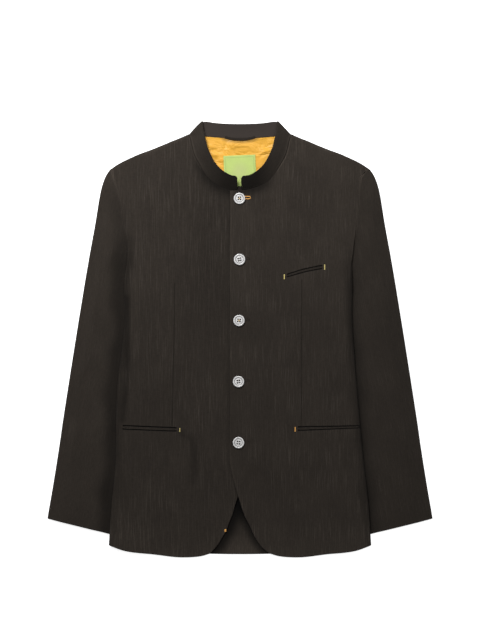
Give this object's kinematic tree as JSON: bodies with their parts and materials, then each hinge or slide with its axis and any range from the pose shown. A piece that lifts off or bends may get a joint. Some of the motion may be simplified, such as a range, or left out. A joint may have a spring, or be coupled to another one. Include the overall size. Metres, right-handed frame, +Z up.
{
  "type": "stand-collar button jacket",
  "caption": "Stand-collar jacket laid flat and buttoned up the front, with long sleeves, jetted breast and hip pockets, a bright lining at the back of the neck and a rounded cutaway hem.",
  "frame": {"origin": "on the surface that the jacket lies on, under the middle of its whole outline", "axes": "+Z up, away from the surface; +Y towards the collar; +X towards the wearer's left side"},
  "size_m": [0.686, 0.7761, 0.0186],
  "materials": {
    "shell": "dark charcoal brown cloth with fine slubs, matt",
    "lining": "orange yellow lining, soft sheen",
    "label": "light green woven label, bare",
    "button": "grey pearl, polished"
  },
  "bodies": {
    "root": {"under_sleeve_left": "shell", "top_sleeve_left": "shell", "under_sleeve_right": "shell", "top_sleeve_right": "shell", "back": "shell", "hanger_loop": "shell", "front_right": "shell", "front_left": "shell", "collar": "shell", "hip_pocket_left_upper_jet": "shell", "hip_pocket_left_lower_jet": "shell", "hip_pocket_right_upper_jet": "shell", "hip_pocket_right_lower_jet": "shell", "breast_pocket_upper_jet": "shell", "breast_pocket_lower_jet": "shell", "back_lining": "lining", "neck_label": "label", "button_1": "button", "button_2": "button", "button_3": "button", "button_4": "button", "button_5": "button"}
  },
  "joints": []
}
